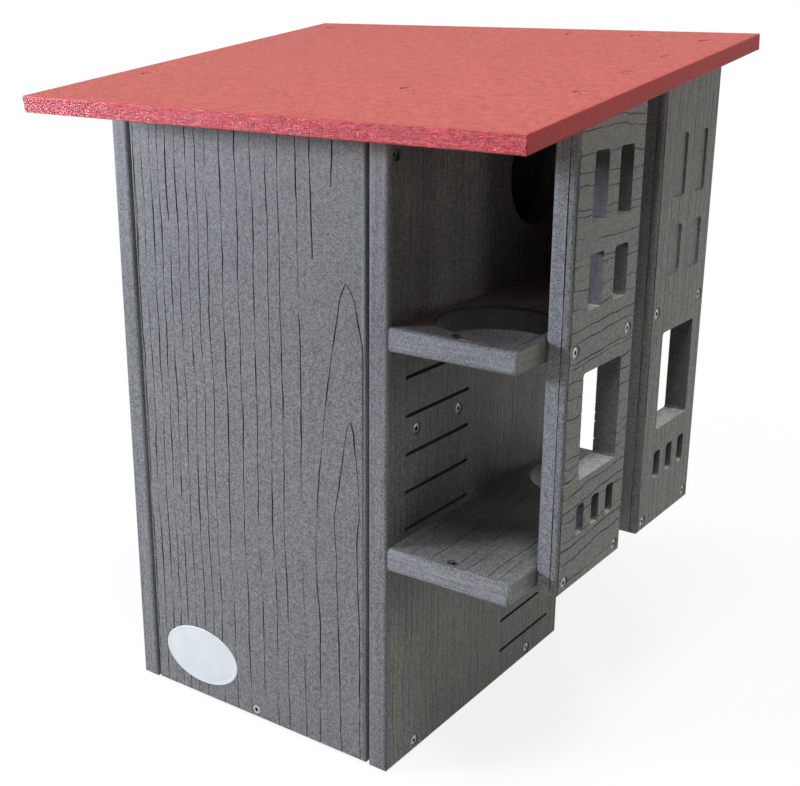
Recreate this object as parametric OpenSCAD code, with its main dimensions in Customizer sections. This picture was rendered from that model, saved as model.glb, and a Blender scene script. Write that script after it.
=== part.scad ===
// Squirrel nest box of recycled-plastic boards: a tall chamber with a
// swing-out front, and a two-storey porch beside its entry hole.
// X runs along the front from left to right, the front faces -Y and Z is up.
// The origin is the middle of the box's footprint, on the ground.

/* [Boards] */
// Thickness of the wall, shelf and facade boards
board_t = 19; // [16:0.5:22]
// Thickness of the roof board
roof_t = 13; // [10:0.5:19]
// Radius of the eased edges on the boards that show
edge_r = 4; // [1:0.5:5]
// Radius of the roof's edges
roof_edge_r = 1.5; // [0.5:0.5:3]
// Radius of the eased edges round the climbing holes
hole_edge_r = 3; // [1:0.5:5]

/* [Box] */
// Width across both side walls
box_w = 277; // [230:1:340]
// Depth from the front face to the tree side
box_d = 292; // [265:1:340]
// Height of the walls at the front, up to the roof
front_h = 523; // [515:1:600]
// Fall of the roof towards the front, in degrees
roof_pitch = 7.4; // [3:0.1:10]
// Height of the inner ledge's top
ledge_top = 296; // [286:1:303]
// Depth of the inner ledge, from the front wall line inwards
ledge_d = 112; // [80:1:150]
// Radius of the drain holes in the floor
drain_r = 5; // [3:0.5:8]
// Distance of the drain holes from the floor's edges
drain_inset = 60; // [50:1:80]

/* [Roof] */
// How far the roof reaches past the left wall
roof_left = 20; // [5:1:40]
// How far the roof reaches past the facades
roof_right = 20; // [5:1:40]
// How far the roof reaches past the front, along its slope
roof_front = 69; // [40:1:100]
// How far the roof reaches past the back, along its slope
roof_back = 18; // [5:1:30]

/* [Front door] */
// Gap on each side of the door
door_side_gap = 1; // [0.5:0.25:2]
// Gap between the door and what stands behind it
door_back_gap = 1; // [0.5:0.25:2]
// Gap between the door's top and the roof
door_top_gap = 5; // [4:0.5:10]
// Height of the door's bottom edge above the ground
door_lift = 1; // [0.5:0.5:3]
// How far the pivots are below the top of the front wall line
pivot_drop = 26; // [22:1:45]
// How deep the pivot screws' heads are set into the walls
pivot_sink = 5; // [2.5:0.5:8]
// Thickness of the oval label
label_t = 0.8; // [0.4:0.1:1.5]
// Width of the oval label
label_w = 84; // [50:1:110]
// Height of the oval label
label_h = 53; // [30:1:60]
// Distance of the label's middle from the box's left side
label_x = 76; // [75:1:85]
// Height of the label's middle
label_z = 42; // [38:1:120]

/* [Porch] */
// Depth of the porch, from the entry wall to the facades
porch_d = 107; // [104:1:130]
// Height of the lower shelf's top
lower_shelf_top = 200; // [190:1:208]
// Height of the upper shelf's top
upper_shelf_top = 375; // [365:1:385]
// Diameter of the entry hole and of both climbing holes
hole_d = 89; // [70:1:92]
// Distance of the upper shelf's hole from the porch's front end
upper_hole_y = 63; // [61:1:75]
// Distance of the lower shelf's hole from the box's back
lower_hole_back = 70; // [60:1:90]
// Distance of the entry hole from the box's back
entry_hole_back = 77; // [66:1:92]
// Height of the entry hole's middle
entry_hole_z = 464; // [450:1:480]

/* [Claw grooves] */
// Height of each groove
groove_h = 3; // [2:0.5:5]
// Depth of each groove
groove_depth = 5; // [3:0.5:8]
// Length of each groove
groove_len = 91; // [60:1:100]
// Distance between grooves
groove_pitch = 30.9; // [27:0.1:34]
// Number of grooves below each shelf
groove_count = 5; // [3:1:5]
// Distance of the top groove below the upper shelf's underside
groove_upper_drop = 25; // [20:0.5:30]
// Distance of the top groove below the lower shelf's underside
groove_lower_drop = 28; // [20:0.5:32]
// Distance of the upper grooves from the box's front
groove_upper_y = 23; // [10:1:40]
// Distance of the lower grooves from the box's back
groove_lower_back = 22; // [12:1:40]

/* [Facades] */
// Width of each facade board
facade_w = 107; // [100:1:115]
// Distance of the first facade from the porch's front end
facade_start = 38.5; // [25:0.5:45]
// Distance of the rear facade from the box's back
facade_back = 7; // [0:0.5:15]
// How far the facades hang below the lower shelf
facade_drop = 2; // [0:0.5:8]
// Width of the large window
large_w = 62; // [40:1:66]
// Height of the large window
large_h = 82; // [60:1:88]
// Width of the small windows
small_w = 22; // [15:0.5:28]
// Height of the first row of small windows
small_h = 40; // [25:1:45]
// Height of the top row of small windows
tall_h = 49; // [40:1:55]
// Width of the slits
slit_w = 12.5; // [8:0.5:16]
// Height of the slits
slit_h = 24; // [15:1:30]
// Radius in the corners of the windows
window_r = 3; // [1:0.5:5]
// Depth of the rear facade's small windows, which stop short of its back
blind_depth = 2; // [1:0.5:5]
// Distance of the windows from the facade's front edge
window_inset = 24.5; // [22:0.5:26]
// Slit sill's height above the lower shelf's top
slit_rise = 21; // [15:1:26]
// Large window sill's height above the lower shelf's top
large_rise = 65; // [55:1:70]
// First row's sill height above the upper shelf's top
small_rise = 18; // [12:1:22]
// Top row's sill height above the upper shelf's top
tall_rise = 80; // [72:1:85]

/* [Screws] */
// Radius of the screws' shanks
screw_r = 2.1; // [1.8:0.1:2.6]
// Radius of the screws' heads
head_r = 4.2; // [3.5:0.1:5]
// Length of the screws that hold the box together
screw_len = 38; // [34:1:40]
// Length of the screws through the facades, short of the climbing holes
facade_screw_len = 27; // [24:0.5:27.5]
// Length of the short screws near the shelves' front ends
end_screw_len = 14; // [10:1:16]
// Length of the screw that locks the door
lock_len = 34; // [30:1:36]
// How deep the flat heads are set below the surface
head_sink = 1; // [0.5:0.1:1.5]
// Radial clearance of a screw in the board that its head sits on
screw_clear = 0.2; // [0.1:0.05:0.4]
// How far the thread bites into the board behind
thread_bite = 0.15; // [0.05:0.05:0.3]
// Radial clearance of the pivot screws in the walls
pivot_clear = 0.06; // [0.02:0.02:0.1]
// Radial clearance of the lock screw in the floor's edge
lock_clear = 1.1; // [1:0.1:1.5]

/* [Screw places] */
// Distance of the front roof screws from the box's front
roof_screw_front = 36; // [25:1:60]
// Distance of the rear roof screws from the box's back
roof_screw_back = 9; // [8:0.5:12]
// Distance of the porch's roof screw from the entry wall
roof_porch_screw_out = 50; // [30:1:80]
// Distance of the roof's screws from the facades' edges
roof_facade_inset = 17; // [12:1:24]
// Distance of the shelves' screws from the facades' edges
facade_screw_inset = 11; // [8:0.5:16]
// How far the lower facade screws are below the middle of the lower shelf
lower_screw_drop = 2.5; // [0:0.5:4]
// Distance of the front floor screws from the box's front
floor_screw_front = 41; // [30:1:60]
// Distance of the rear floor screws from the box's back
floor_screw_back = 60; // [40:1:90]
// Distance of the ledge's first screws from its front edge
ledge_screw_front = 19; // [12:1:30]
// Distance of the ledge's second screws from its rear edge
ledge_screw_rear = 33; // [12:1:35]
// Height of the lowest screws into the back
back_screw_low = 60; // [40:5:100]
// Height of the middle screws into the back
back_screw_mid = 250; // [210:5:290]
// Height of the highest screws into the back
back_screw_high = 450; // [400:5:480]
// Distance of the front shelf screws from the porch's front end
shelf_screw_front = 20; // [15:1:24]
// Distance of the middle shelf screws from the porch's front end
shelf_screw_mid = 135; // [120:1:145]
// Distance of the rear shelf screws from the box's back
shelf_screw_back = 20; // [15:1:25]
// Distance of the porch back's first screw from the entry wall
porch_back_screw_left = 30; // [15:1:45]
// Distance of the porch back's second screw from the facades
porch_back_screw_right = 27; // [22:1:40]
// Distance of the short end screws from the porch's front end
end_screw_y = 10; // [8:1:11]

/* [Tree fixing] */
// Radius of the holes for the two coach screws
tree_hole_r = 4; // [3:0.5:5]
// Distance between the two coach screw holes
tree_spacing = 400; // [300:1:420]
// Height of the lower coach screw hole
tree_hole_z = 80; // [60:1:90]

/* [Hidden] */
$fn = 48;

grey = [0.36, 0.36, 0.37];
facade_grey = [0.30, 0.30, 0.29];
red = [0.75, 0.32, 0.32];
steel = [0.72, 0.72, 0.70];
white = [0.92, 0.92, 0.92];

// Side walls and what stands between them
inner_x0 = board_t;
inner_x1 = box_w - board_t;
inner_w = inner_x1 - inner_x0;
inner_y0 = board_t + door_back_gap;
inner_y1 = box_d - board_t;
mid_x = box_w / 2;
rise = tan(roof_pitch);

// Porch, measured from the entry wall's face
facade_x0 = box_w + porch_d;
facade_x1 = facade_x0 + board_t;
facade_z0 = lower_shelf_top - board_t - facade_drop;
facade_mid_x = facade_x0 + board_t / 2;
facade_y = [facade_start, box_d - facade_back - facade_w];
porch_mid_x = box_w + porch_d / 2;
lower_hole_y = box_d - lower_hole_back;
entry_hole_y = box_d - entry_hole_back;
groove_lower_y = box_d - groove_lower_back - groove_len;

// Roof, with its depth along the slope
roof_x0 = -roof_left;
roof_w = facade_x1 + roof_right - roof_x0;
roof_len = roof_front + box_d / cos(roof_pitch) + roof_back;

// Door
door_x0 = inner_x0 + door_side_gap;
door_w = inner_w - 2 * door_side_gap;
door_top = front_h - door_top_gap;
pivot_y = board_t / 2;
pivot_z = front_h - pivot_drop;
lock_z = board_t / 2;

// Screws
pilot_r = screw_r - thread_bite;
clear_r = screw_r + screw_clear;
sink_r = head_r + 0.5;
head_cone = 2.6;
head_rim = 0.5;
seat_clear = 0.05;
tip_r = 0.4;
tip_len = 5;
tip_gap = 0.5;
pan_h = 2;
pan_gap = 0.3;
socket_w = 2.6;
socket_depth = 1.6;

// Overshoot of the cuts past the faces, a cut right through a board, and a
// size larger than the box
reach = 3;
through = board_t + reach;
beyond = 1500;

// Where the screws are
roof_screw_y = [roof_screw_front, box_d - roof_screw_back];
roof_porch_screw_x = box_w + roof_porch_screw_out;
floor_screw_y = [floor_screw_front, box_d - floor_screw_back];
ledge_screw_y = [inner_y0 + ledge_screw_front, inner_y0 + ledge_d - ledge_screw_rear];
back_screw_z = [back_screw_low, back_screw_mid, back_screw_high];
shelf_screw_y = [shelf_screw_front, shelf_screw_mid, box_d - shelf_screw_back];
porch_back_screw_x = [box_w + porch_back_screw_left, facade_x0 - porch_back_screw_right];
upper_screw_z = upper_shelf_top - board_t / 2;
lower_screw_z = lower_shelf_top - board_t / 2 - lower_screw_drop;

// Underside of the roof at depth y
function under_roof(y) = front_h + rise * y;

// Moves the origin to the middle of the box's footprint
module place() {
  translate([-box_w / 2, -box_d / 2, 0])
    children();
}

// Everything above the roof's underside
module above_roof() {
  translate([-beyond / 2, 0, front_h])
    rotate([roof_pitch, 0, 0])
      translate([0, -beyond / 2, 0])
        cube(beyond);
}

module rounded_rect(w, h, r) {
  translate([r, 0]) square([w - 2 * r, h]);
  translate([0, r]) square([w, h - 2 * r]);
  for (x = [r, w - r], y = [r, h - r])
    translate([x, y]) circle(r = r);
}

// A board with every edge eased
module eased_board(size, r) {
  intersection() {
    linear_extrude(size.z) rounded_rect(size.x, size.y, r);
    translate([0, size.y, 0])
      rotate([90, 0, 0])
        linear_extrude(size.y) rounded_rect(size.x, size.z, r);
    rotate([90, 0, 90])
      linear_extrude(size.x) rounded_rect(size.y, size.z, r);
  }
}

// A side wall, cut to the roof's slope
module wall_blank(x) {
  difference() {
    translate([x, 0, 0])
      eased_board([board_t, box_d, under_roof(box_d) + board_t], edge_r);
    above_roof();
  }
}

// Screw along -Z, with its flat head's face at z = 0
module flat_screw(len) {
  difference() {
    rotate_extrude()
      polygon([[0, -len], [tip_r, -len], [screw_r, tip_len - len],
               [screw_r, -head_rim - head_cone], [head_r, -head_rim], [head_r, 0], [0, 0]]);
    screw_socket();
  }
}

// Screw along -Z, with the seat of its cylinder head at z = 0
module pan_screw(len) {
  difference() {
    rotate_extrude()
      polygon([[0, -len], [tip_r, -len], [screw_r, tip_len - len],
               [screw_r, 0], [head_r, 0], [head_r, pan_h], [0, pan_h]]);
    translate([0, 0, pan_h]) screw_socket();
  }
}

module screw_socket() {
  translate([-socket_w / 2, -socket_w / 2, -socket_depth])
    cube([socket_w, socket_w, socket_depth + reach]);
}

// Hole for a flat screw in the board that its head sits on, flared at the surface
module sunk_hole(depth, r = clear_r) {
  seat = head_sink + head_rim;
  seat_r = head_r + seat_clear;
  translate([0, 0, -depth]) cylinder(h = depth + reach, r = r);
  rotate_extrude()
    polygon([[0, -seat - head_cone], [screw_r + seat_clear, -seat - head_cone],
             [seat_r, -seat], [seat_r, -head_sink], [seat_r + head_sink, 0],
             [seat_r + head_sink, reach], [0, reach]]);
}

// Hole that the thread cuts, below the face that is this deep
module pilot_hole(face, len = screw_len) {
  translate([0, 0, -len - tip_gap]) cylinder(h = len + tip_gap - face + reach, r = pilot_r);
}

// Screw with its head just below the surface at z = 0
module sunk_screw(len = screw_len) {
  translate([0, 0, -head_sink]) flat_screw(len - head_sink);
}

// Places for the screws, with +Z out of the surface under each head
module at_roof(x, y) {
  translate([x, y, under_roof(y)])
    rotate([roof_pitch, 0, 0])
      translate([0, 0, roof_t])
        children();
}

module at_roof_wall_screws() {
  for (x = [board_t / 2, box_w - board_t / 2], y = roof_screw_y)
    at_roof(x, y) children();
}

module at_roof_facade_screws() {
  for (start = facade_y, side = [roof_facade_inset, facade_w - roof_facade_inset])
    at_roof(facade_mid_x, start + side) children();
}

module at_roof_porch_screw() {
  at_roof(roof_porch_screw_x, roof_screw_y[1]) children();
}

module at_facade_screws(z) {
  for (start = facade_y, side = [facade_screw_inset, facade_w - facade_screw_inset])
    translate([facade_x1, start + side, z])
      rotate([0, 90, 0])
        children();
}

module from_left(y, z) {
  translate([0, y, z]) rotate([0, -90, 0]) children();
}

module from_right(y, z) {
  translate([box_w, y, z]) rotate([0, 90, 0]) children();
}

// Out of the chamber, through the entry wall into the porch
module from_inside(y, z) {
  translate([inner_x1, y, z]) rotate([0, -90, 0]) children();
}

module at_floor_screws() {
  for (y = floor_screw_y) {
    from_left(y, board_t / 2) children();
    from_right(y, board_t / 2) children();
  }
}

module at_ledge_screws() {
  for (y = ledge_screw_y) {
    from_left(y, ledge_top - board_t / 2) children();
    from_right(y, ledge_top - board_t / 2) children();
  }
}

module at_back_screws() {
  for (z = back_screw_z) {
    from_left(box_d - board_t / 2, z) children();
    from_right(box_d - board_t / 2, z) children();
  }
}

module at_shelf_screws(shelf_top) {
  for (y = shelf_screw_y)
    from_inside(y, shelf_top - board_t / 2) children();
}

// Up through the upper shelf, into the porch's back
module at_porch_back_screws() {
  for (x = porch_back_screw_x)
    translate([x, box_d - board_t / 2, upper_shelf_top - board_t])
      rotate([180, 0, 0])
        children();
}

module at_end_screw(shelf_top) {
  translate([porch_mid_x, end_screw_y, shelf_top]) children();
}

// Column of round-ended grooves that the animals climb by, down from a height
module claw_grooves(start_y, top) {
  end_r = groove_h / 2;
  for (i = [0 : groove_count - 1])
    translate([box_w - groove_depth, start_y, top - i * groove_pitch]) {
      translate([0, end_r, -end_r])
        cube([groove_depth + reach, groove_len - groove_h, groove_h]);
      for (y = [end_r, groove_len - end_r])
        translate([0, y, 0])
          rotate([0, 90, 0])
            cylinder(h = groove_depth + reach, r = end_r);
    }
}

module left_wall() {
  color(grey)
    difference() {
      wall_blank(0);
      at_roof_wall_screws() pilot_hole(roof_t);
      at_floor_screws() sunk_hole(board_t + reach);
      at_ledge_screws() sunk_hole(board_t + reach);
      at_back_screws() sunk_hole(board_t + reach);
      pivot_bore();
    }
}

module entry_wall() {
  color(grey)
    difference() {
      wall_blank(inner_x1);
      translate([inner_x1 - reach, entry_hole_y, entry_hole_z])
        rotate([0, 90, 0])
          cylinder(h = board_t + 2 * reach, r = hole_d / 2);
      claw_grooves(groove_upper_y, upper_shelf_top - board_t - groove_upper_drop);
      claw_grooves(groove_lower_y, lower_shelf_top - board_t - groove_lower_drop);
      at_roof_wall_screws() pilot_hole(roof_t);
      at_floor_screws() sunk_hole(board_t + reach);
      at_ledge_screws() sunk_hole(board_t + reach);
      at_back_screws() sunk_hole(board_t + reach);
      at_shelf_screws(upper_shelf_top) sunk_hole(board_t + reach);
      at_shelf_screws(lower_shelf_top) sunk_hole(board_t + reach);
      mirror_about_middle(1) pivot_bore();
    }
}

// Bore and head pocket for the left pivot screw
module pivot_bore() {
  translate([-reach, pivot_y, pivot_z])
    rotate([0, 90, 0]) {
      cylinder(h = board_t + 2 * reach, r = screw_r + pivot_clear);
      cylinder(h = reach + pivot_sink + pan_gap, r = sink_r);
    }
}

module back_board() {
  color(grey)
    difference() {
      translate([inner_x0, inner_y1, 0])
        cube([inner_w, board_t, under_roof(box_d) + board_t]);
      above_roof();
      at_back_screws() pilot_hole(board_t);
      for (z = [tree_hole_z, tree_hole_z + tree_spacing])
        translate([mid_x, inner_y1 - reach, z])
          rotate([-90, 0, 0])
            cylinder(h = board_t + 2 * reach, r = tree_hole_r);
    }
}

module floor_board() {
  depth = inner_y1 - inner_y0;
  color(grey)
    difference() {
      translate([inner_x0, inner_y0, 0]) cube([inner_w, depth, board_t]);
      at_floor_screws() pilot_hole(board_t);
      for (x = [inner_x0 + drain_inset, inner_x1 - drain_inset],
           y = [inner_y0 + drain_inset, inner_y1 - drain_inset])
        translate([x, y, -reach]) cylinder(h = board_t + 2 * reach, r = drain_r);
      translate([mid_x, inner_y0 - reach, lock_z])
        rotate([-90, 0, 0])
          cylinder(h = pan_h + lock_len + lock_clear - inner_y0 + reach, r = screw_r + lock_clear);
    }
}

module inner_ledge() {
  color(grey)
    difference() {
      translate([inner_x0, inner_y0, ledge_top - board_t])
        cube([inner_w, ledge_d, board_t]);
      at_ledge_screws() pilot_hole(board_t);
    }
}

module roof_board() {
  color(red)
    difference() {
      translate([roof_x0, 0, front_h])
        rotate([roof_pitch, 0, 0])
          translate([0, -roof_front, 0])
            eased_board([roof_w, roof_len, roof_t], roof_edge_r);
      at_roof_wall_screws() sunk_hole(roof_t + reach);
      at_roof_facade_screws() sunk_hole(roof_t + reach);
      at_roof_porch_screw() sunk_hole(roof_t + reach);
    }
}

// Climbing hole through a shelf whose top is at z = 0, with both rims eased
module climbing_hole() {
  rotate_extrude()
    difference() {
      translate([0, -board_t - reach])
        square([hole_d / 2 + hole_edge_r, board_t + 2 * reach]);
      translate([hole_d / 2, hole_edge_r - board_t])
        square([2 * hole_edge_r, board_t - 2 * hole_edge_r]);
      for (z = [-hole_edge_r, hole_edge_r - board_t])
        translate([hole_d / 2 + hole_edge_r, z]) circle(r = hole_edge_r);
    }
}

// A porch shelf, square against the entry wall and eased elsewhere
module shelf(shelf_top, hole_y, facade_screw_z) {
  difference() {
    translate([inner_x1, 0, shelf_top - board_t])
      eased_board([board_t + porch_d, box_d, board_t], edge_r);
    translate([inner_x1 - reach, -reach, shelf_top - board_t - reach])
      cube([board_t + reach, box_d + 2 * reach, board_t + 2 * reach]);
    translate([porch_mid_x, hole_y, shelf_top]) climbing_hole();
    at_shelf_screws(shelf_top) pilot_hole(board_t);
    at_facade_screws(facade_screw_z) pilot_hole(board_t, facade_screw_len);
    at_end_screw(shelf_top) sunk_hole(end_screw_len + tip_gap, pilot_r);
  }
}

module upper_shelf() {
  color(grey)
    difference() {
      shelf(upper_shelf_top, upper_hole_y, upper_screw_z);
      at_porch_back_screws() sunk_hole(board_t + reach);
    }
}

module lower_shelf() {
  color(grey) shelf(lower_shelf_top, lower_hole_y, lower_screw_z);
}

// Window in a facade from y on, its sill at height z, this deep from the outer face
module window(y, z, w, h, depth) {
  translate([facade_x1 - depth, y, z])
    rotate([90, 0, 90])
      linear_extrude(depth + reach) rounded_rect(w, h, window_r);
}

module windows(start_y, small_depth) {
  left = start_y + window_inset;
  for (x = [0, large_w - small_w]) {
    window(left + x, upper_shelf_top + tall_rise, small_w, tall_h, small_depth);
    window(left + x, upper_shelf_top + small_rise, small_w, small_h, small_depth);
  }
  window(left, lower_shelf_top + large_rise, large_w, large_h, through);
  for (i = [0 : 2])
    window(left + i * (large_w - slit_w) / 2, lower_shelf_top + slit_rise, slit_w, slit_h, through);
}

// A facade board, cut to the roof's slope
module facade(start_y, small_depth) {
  difference() {
    translate([facade_x0, start_y, facade_z0])
      eased_board([board_t, facade_w, under_roof(box_d) + board_t - facade_z0], edge_r);
    above_roof();
    windows(start_y, small_depth);
    at_facade_screws(upper_screw_z) sunk_hole(board_t + reach);
    at_facade_screws(lower_screw_z) sunk_hole(board_t + reach);
    at_roof_facade_screws() pilot_hole(roof_t);
  }
}

module front_facade() {
  color(facade_grey) facade(facade_y[0], through);
}

module rear_facade() {
  color(facade_grey) facade(facade_y[1], blind_depth);
}

module porch_back() {
  color(grey)
    difference() {
      translate([box_w, inner_y1, upper_shelf_top])
        cube([porch_d, board_t, under_roof(box_d) + board_t - upper_shelf_top]);
      above_roof();
      at_roof_porch_screw() pilot_hole(roof_t);
      at_porch_back_screws() pilot_hole(board_t);
    }
}

module front_door() {
  color(grey)
    difference() {
      translate([door_x0, 0, door_lift])
        eased_board([door_w, board_t, door_top - door_lift], edge_r);
      for (side = [0, 1])
        mirror_about_middle(side)
          from_left(pivot_y, pivot_z) pilot_hole(board_t);
      translate([mid_x, -reach, lock_z])
        rotate([-90, 0, 0]) {
          cylinder(h = board_t + 2 * reach, r = screw_r + pivot_clear);
          cylinder(h = reach + pan_h, r = sink_r);
        }
    }
}

module mirror_about_middle(side) {
  translate([side * box_w, 0, 0])
    mirror([side, 0, 0])
      children();
}

module oval_label() {
  color(white)
    translate([label_x, 0, label_z])
      rotate([90, 0, 0])
        linear_extrude(label_t)
          polygon([for (a = [0 : 7.5 : 352.5]) [label_w / 2 * cos(a), label_h / 2 * sin(a)]]);
}

module pivot_screws() {
  color(steel)
    for (side = [0, 1])
      mirror_about_middle(side)
        translate([pivot_sink, 0, 0])
          from_left(pivot_y, pivot_z) pan_screw(screw_len - pivot_sink);
}

module lock_screw() {
  color(steel)
    translate([mid_x, pan_h, lock_z])
      rotate([90, 0, 0])
        pan_screw(lock_len);
}

module roof_wall_screws() {
  color(steel) at_roof_wall_screws() sunk_screw();
}

module roof_facade_screws() {
  color(steel) at_roof_facade_screws() sunk_screw();
}

module roof_porch_screw() {
  color(steel) at_roof_porch_screw() sunk_screw();
}

module facade_upper_screws() {
  color(steel) at_facade_screws(upper_screw_z) sunk_screw(facade_screw_len);
}

module facade_lower_screws() {
  color(steel) at_facade_screws(lower_screw_z) sunk_screw(facade_screw_len);
}

module floor_screws() {
  color(steel) at_floor_screws() sunk_screw();
}

module ledge_screws() {
  color(steel) at_ledge_screws() sunk_screw();
}

module back_screws() {
  color(steel) at_back_screws() sunk_screw();
}

module upper_shelf_screws() {
  color(steel) at_shelf_screws(upper_shelf_top) sunk_screw();
}

module lower_shelf_screws() {
  color(steel) at_shelf_screws(lower_shelf_top) sunk_screw();
}

module porch_back_screws() {
  color(steel) at_porch_back_screws() sunk_screw();
}

module shelf_end_screws() {
  color(steel)
    for (shelf_top = [upper_shelf_top, lower_shelf_top])
      at_end_screw(shelf_top) sunk_screw(end_screw_len);
}

place() left_wall();
place() entry_wall();
place() back_board();
place() floor_board();
place() inner_ledge();
place() roof_board();
place() upper_shelf();
place() lower_shelf();
place() front_facade();
place() rear_facade();
place() porch_back();
place() front_door();
place() oval_label();
place() pivot_screws();
place() lock_screw();
place() roof_wall_screws();
place() roof_facade_screws();
place() roof_porch_screw();
place() facade_upper_screws();
place() facade_lower_screws();
place() floor_screws();
place() ledge_screws();
place() back_screws();
place() upper_shelf_screws();
place() lower_shelf_screws();
place() porch_back_screws();
place() shelf_end_screws();
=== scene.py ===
# Squirrel nest box of grained grey plastic boards under a red roof
import math

import bmesh
import bpy
import numpy as np
from mathutils import Euler, Matrix, Vector


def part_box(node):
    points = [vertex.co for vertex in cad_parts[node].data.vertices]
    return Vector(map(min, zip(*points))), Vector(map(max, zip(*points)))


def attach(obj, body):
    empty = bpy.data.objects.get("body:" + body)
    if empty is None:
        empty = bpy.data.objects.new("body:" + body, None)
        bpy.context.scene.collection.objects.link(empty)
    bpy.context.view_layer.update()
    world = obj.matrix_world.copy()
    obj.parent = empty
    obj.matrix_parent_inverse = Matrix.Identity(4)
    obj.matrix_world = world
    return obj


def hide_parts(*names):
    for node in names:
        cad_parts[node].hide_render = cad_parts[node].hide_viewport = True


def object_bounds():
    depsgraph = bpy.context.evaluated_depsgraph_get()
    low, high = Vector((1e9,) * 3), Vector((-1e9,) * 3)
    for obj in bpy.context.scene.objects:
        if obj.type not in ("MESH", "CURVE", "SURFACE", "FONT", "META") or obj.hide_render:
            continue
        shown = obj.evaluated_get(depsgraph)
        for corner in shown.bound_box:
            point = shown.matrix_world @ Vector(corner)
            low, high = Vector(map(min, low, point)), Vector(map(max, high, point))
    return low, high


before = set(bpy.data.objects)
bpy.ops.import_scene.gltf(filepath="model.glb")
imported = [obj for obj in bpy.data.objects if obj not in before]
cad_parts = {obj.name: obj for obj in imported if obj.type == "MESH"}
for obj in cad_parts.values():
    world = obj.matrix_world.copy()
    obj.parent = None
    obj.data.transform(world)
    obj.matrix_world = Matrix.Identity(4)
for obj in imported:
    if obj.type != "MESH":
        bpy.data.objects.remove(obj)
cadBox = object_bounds()
print("frame loaded:", len(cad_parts), "nodes")

scene = bpy.context.scene
scene.view_settings.view_transform = "Standard"


# Node helpers
def addSocket(tree, name, kind, value=None, isOutput=False):
    side = "OUTPUT" if isOutput else "INPUT"
    socket = tree.interface.new_socket(name=name, in_out=side, socket_type=kind)
    if value is not None:
        socket.default_value = value
    return socket


def addNode(tree, kind, settings=None, **inputs):
    node = tree.nodes.new(kind)
    for key, value in (settings or {}).items():
        setattr(node, key, value)
    for key, value in inputs.items():
        feed(tree, node.inputs[key], value)
    return node


def feed(tree, socket, value):
    if isinstance(value, bpy.types.NodeSocket):
        tree.links.new(value, socket)
    else:
        socket.default_value = value


def mathNode(tree, operation, first, second=0.0):
    node = tree.nodes.new("ShaderNodeMath")
    node.operation = operation
    feed(tree, node.inputs[0], first)
    feed(tree, node.inputs[1], second)
    return node.outputs[0]


def scaleVector(tree, vector, factors):
    node = tree.nodes.new("ShaderNodeVectorMath")
    node.operation = "MULTIPLY"
    feed(tree, node.inputs[0], vector)
    feed(tree, node.inputs[1], factors)
    return node.outputs[0]


def combine(tree, x=0.0, y=0.0, z=0.0):
    return addNode(tree, "ShaderNodeCombineXYZ", X=x, Y=y, Z=z).outputs[0]


def noiseMask(tree, vector, scale, detail):
    return addNode(tree, "ShaderNodeTexNoise", Vector=vector, Scale=scale, Detail=detail).outputs["Fac"]


def mixTones(tree, factor, dark, light):
    # Inputs 6 and 7 and output 2 are the node's colours
    mix = addNode(tree, "ShaderNodeMix", {"data_type": "RGBA"})
    feed(tree, mix.inputs["Factor"], factor)
    feed(tree, mix.inputs[6], dark)
    feed(tree, mix.inputs[7], light)
    return mix.outputs[2]


# Shader group for speckled recycled plastic
speckleMix = {"broadScale": 0.28, "fineDetail": 2.0, "broadDetail": 3.0, "fineHeight": 0.7,
              "streakHeight": 0.5, "roughSpread": 0.3}


def makeSpeckleGroup():
    tree = bpy.data.node_groups.new("recycledSpeckle", "ShaderNodeTree")
    addSocket(tree, "Vector", "NodeSocketVector")
    addSocket(tree, "Dark", "NodeSocketColor", (0.1, 0.1, 0.1, 1))
    addSocket(tree, "Light", "NodeSocketColor", (0.3, 0.3, 0.3, 1))
    addSocket(tree, "Grain Size", "NodeSocketFloat", 0.0011)
    addSocket(tree, "Speckle", "NodeSocketFloat", 2.5)
    addSocket(tree, "Blotch", "NodeSocketFloat", 0.6)
    addSocket(tree, "Streak", "NodeSocketFloat", 0.5)
    addSocket(tree, "Streak Scale", "NodeSocketVector", (500, 500, 12))
    addSocket(tree, "Base Roughness", "NodeSocketFloat", 0.42)
    addSocket(tree, "Color", "NodeSocketColor", isOutput=True)
    addSocket(tree, "Height", "NodeSocketFloat", isOutput=True)
    addSocket(tree, "Roughness", "NodeSocketFloat", isOutput=True)
    given = addNode(tree, "NodeGroupInput").outputs
    result = addNode(tree, "NodeGroupOutput").inputs
    fineScale = mathNode(tree, "DIVIDE", 1.0, given["Grain Size"])
    fine = noiseMask(tree, given["Vector"], fineScale, speckleMix["fineDetail"])
    broadScale = mathNode(tree, "MULTIPLY", fineScale, speckleMix["broadScale"])
    broad = noiseMask(tree, given["Vector"], broadScale, speckleMix["broadDetail"])
    stretched = scaleVector(tree, given["Vector"], given["Streak Scale"])
    streak = noiseMask(tree, stretched, 1.0, speckleMix["broadDetail"])
    total = 0.5
    for mask, amount in ((fine, given["Speckle"]), (broad, given["Blotch"]), (streak, given["Streak"])):
        centred = mathNode(tree, "SUBTRACT", mask, 0.5)
        total = mathNode(tree, "ADD", total, mathNode(tree, "MULTIPLY", centred, amount))
    feed(tree, result["Color"], mixTones(tree, total, given["Dark"], given["Light"]))
    fineHeight = mathNode(tree, "MULTIPLY", fine, speckleMix["fineHeight"])
    streakHeight = mathNode(tree, "MULTIPLY", streak, speckleMix["streakHeight"])
    feed(tree, result["Height"], mathNode(tree, "ADD", fineHeight, streakHeight))
    spread = mathNode(tree, "MULTIPLY", fine, speckleMix["roughSpread"])
    feed(tree, result["Roughness"], mathNode(tree, "ADD", given["Base Roughness"], spread))
    return tree


speckleGroup = makeSpeckleGroup()


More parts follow.
